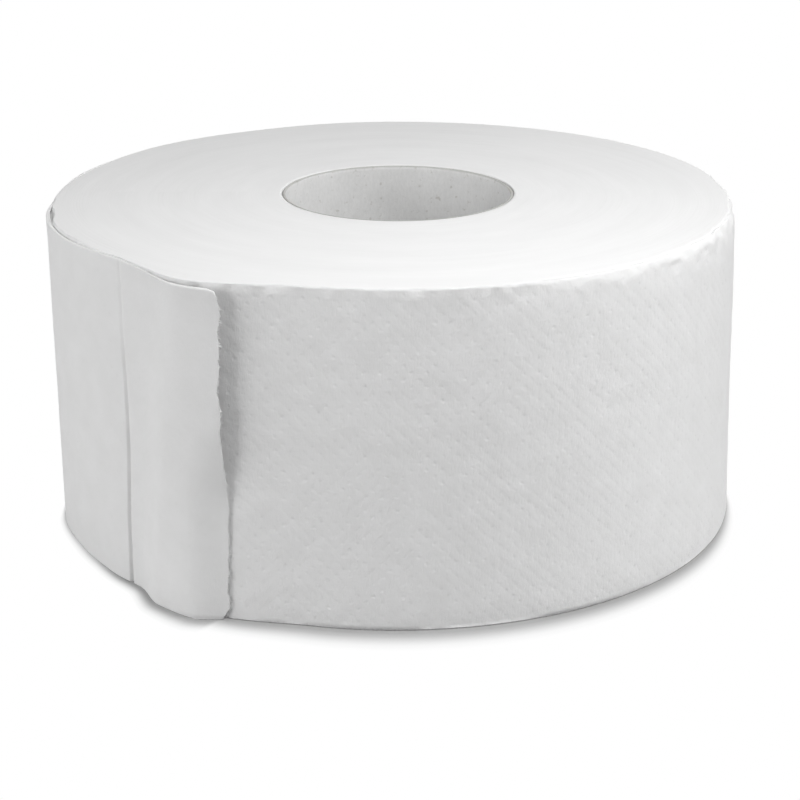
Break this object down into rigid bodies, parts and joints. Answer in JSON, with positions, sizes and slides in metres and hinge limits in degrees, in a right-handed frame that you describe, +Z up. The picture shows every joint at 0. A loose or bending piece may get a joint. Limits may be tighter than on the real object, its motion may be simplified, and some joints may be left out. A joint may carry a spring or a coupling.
{
  "type": "toilet paper roll",
  "caption": "Large roll of white embossed toilet tissue on a grey cardboard core, standing on its end, with a loose outer lap and a torn free end.",
  "frame": {"origin": "on the roll's axis, in the plane of the end face that it stands on", "axes": "+Z up along the core's bore; the torn free end faces towards -Y and -X, at an azimuth of 245 degrees from +X"},
  "size_m": [0.1833, 0.1807, 0.085],
  "materials": {
    "core_cardboard": "matt spirally wound grey board",
    "tissue_paper": "matt white two-ply tissue with a fine dot emboss"
  },
  "bodies": {
    "root": {"core_tube": "core_cardboard", "tissue_roll": "tissue_paper"}
  },
  "joints": []
}
